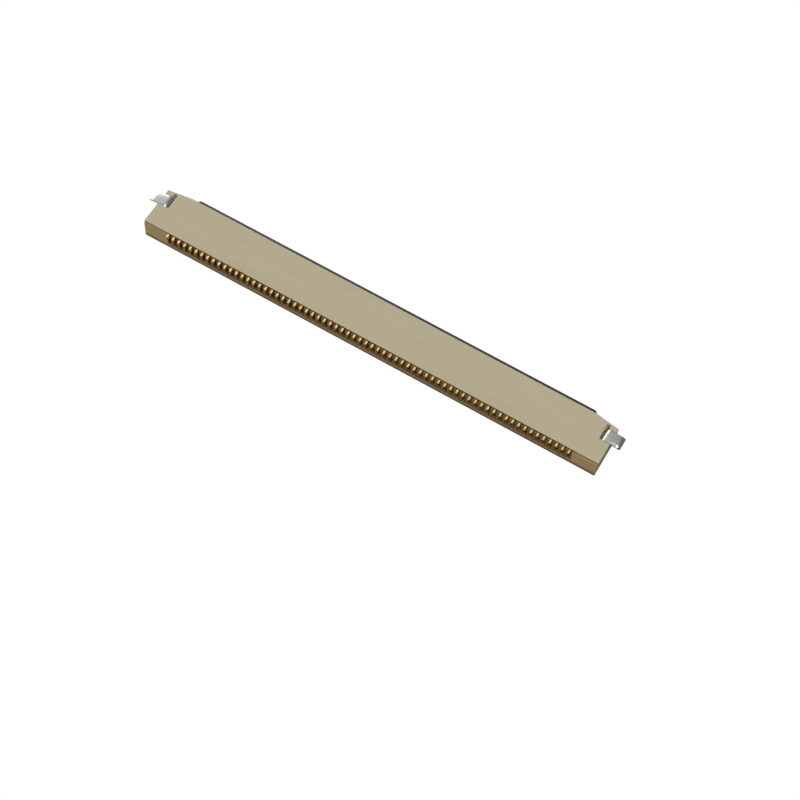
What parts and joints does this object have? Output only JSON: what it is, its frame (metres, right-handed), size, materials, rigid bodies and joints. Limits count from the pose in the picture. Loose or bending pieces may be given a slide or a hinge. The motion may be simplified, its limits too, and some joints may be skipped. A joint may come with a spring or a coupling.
{
  "type": "flat flexible cable connector",
  "caption": "Flat flexible cable connector for board mounting: beige housing, flip actuator, a row of gold contacts and two solder tabs.",
  "frame": {"origin": "centre of the footprint on the board plane: the middle of the length and of the depth over tails and lip, at the underside", "axes": "+X along the contact row, the cable enters from -Y and the solder tails point to +Y, +Z away from the board"},
  "size_m": [0.0394, 0.0046, 0.0019],
  "materials": {
    "housing_plastic": "satin beige moulded plastic",
    "actuator_plastic": "black moulded plastic",
    "tab_metal": "matt tin plate on sheet metal",
    "contact_metal": "gold-plated spring sheet"
  },
  "bodies": {
    "base": {"housing": "housing_plastic", "solder_tab_left": "tab_metal", "solder_tab_right": "tab_metal", "contacts_01_02": "contact_metal", "contacts_03_04": "contact_metal", "contacts_05_06": "contact_metal", "contacts_07_08": "contact_metal", "contacts_09_10": "contact_metal", "contacts_11_12": "contact_metal", "contacts_13_14": "contact_metal", "contacts_15_16": "contact_metal", "contacts_17_18": "contact_metal", "contacts_19_20": "contact_metal", "contacts_21_22": "contact_metal", "contacts_23_24": "contact_metal", "contacts_25_26": "contact_metal", "contacts_27_28": "contact_metal", "contacts_29_30": "contact_metal", "contacts_31_32": "contact_metal", "contacts_33_34": "contact_metal", "contacts_35_36": "contact_metal", "contacts_37_38": "contact_metal", "contacts_39_40": "contact_metal", "contacts_41_42": "contact_metal", "contacts_43_44": "contact_metal", "contacts_45_46": "contact_metal", "contacts_47_48": "contact_metal", "contacts_49_50": "contact_metal", "contacts_51_52": "contact_metal", "contacts_53_54": "contact_metal", "contacts_55_56": "contact_metal", "contacts_57_58": "contact_metal", "contacts_59_60": "contact_metal", "contacts_61_62": "contact_metal", "contacts_63_64": "contact_metal", "contacts_65_66": "contact_metal", "contacts_67_68": "contact_metal"},
    "lever": {"actuator": "actuator_plastic"}
  },
  "joints": [
    {"name": "actuator_flip", "type": "hinge", "parent": "base", "child": "lever", "pos_m": [0, -0.00002, 0.001], "axis": [-1, 0, 0], "range_deg": [0, 90]}
  ]
}
